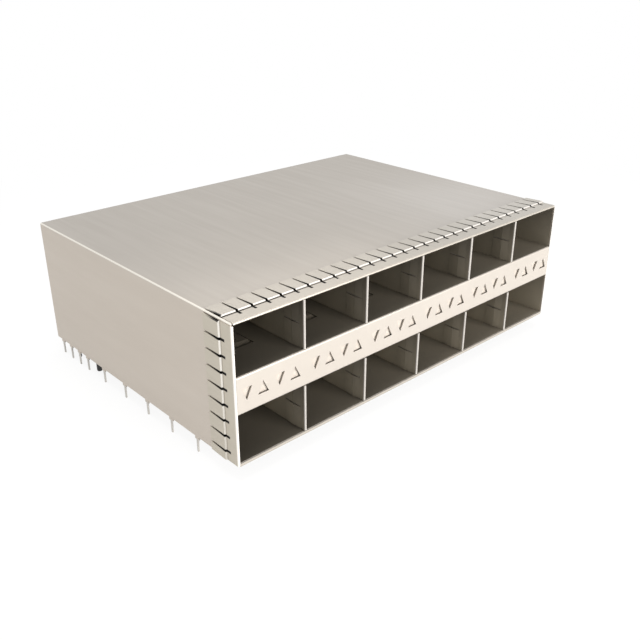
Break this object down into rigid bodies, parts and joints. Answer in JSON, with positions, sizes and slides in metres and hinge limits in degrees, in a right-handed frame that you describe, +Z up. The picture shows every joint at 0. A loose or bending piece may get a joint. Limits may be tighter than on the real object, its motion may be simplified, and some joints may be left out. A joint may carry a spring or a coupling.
{
  "type": "stacked transceiver cage",
  "caption": "Folded sheet-metal cage with two stacked rows of pluggable transceiver ports, spring-finger gaskets round its front, press-fit pins below, and connectors and light pipes inside.",
  "frame": {"origin": "middle of the cage's front edge, at the level of the top face of the circuit board", "axes": "+X to the right along the front as seen from the front, +Y from the front into the cage, +Z up from the board"},
  "size_m": [0.0862, 0.0634, 0.0286],
  "materials": {
    "cage_sheet": "plain rolled sheet",
    "gasket_foil": "bright plated spring foil",
    "housing_plastic": "matt black moulding",
    "contact_metal": "gold plated",
    "light_pipe_plastic": "clear moulded plastic with frosted ends"
  },
  "bodies": {
    "root": {"cage_cover": "cage_sheet", "base_plate": "cage_sheet", "rear_plate": "cage_sheet", "emi_gasket_top": "gasket_foil", "emi_gasket_bottom": "gasket_foil", "emi_gasket_left": "gasket_foil", "emi_gasket_right": "gasket_foil", "divider_1": "cage_sheet", "divider_2": "cage_sheet", "divider_3": "cage_sheet", "divider_4": "cage_sheet", "divider_5": "cage_sheet", "divider_spring_1": "gasket_foil", "divider_spring_2": "gasket_foil", "divider_spring_3": "gasket_foil", "divider_spring_4": "gasket_foil", "divider_spring_5": "gasket_foil", "separator_1": "cage_sheet", "separator_2": "cage_sheet", "separator_3": "cage_sheet", "separator_4": "cage_sheet", "separator_5": "cage_sheet", "separator_6": "cage_sheet", "light_pipe_1": "light_pipe_plastic", "light_pipe_2": "light_pipe_plastic", "light_pipe_3": "light_pipe_plastic", "light_pipe_4": "light_pipe_plastic", "light_pipe_5": "light_pipe_plastic", "light_pipe_6": "light_pipe_plastic", "connector_1": "housing_plastic", "connector_2": "housing_plastic", "connector_3": "housing_plastic", "connector_4": "housing_plastic", "connector_5": "housing_plastic", "connector_6": "housing_plastic", "contacts_1": "contact_metal", "contacts_2": "contact_metal", "contacts_3": "contact_metal", "contacts_4": "contact_metal", "contacts_5": "contact_metal", "contacts_6": "contact_metal"}
  },
  "joints": []
}
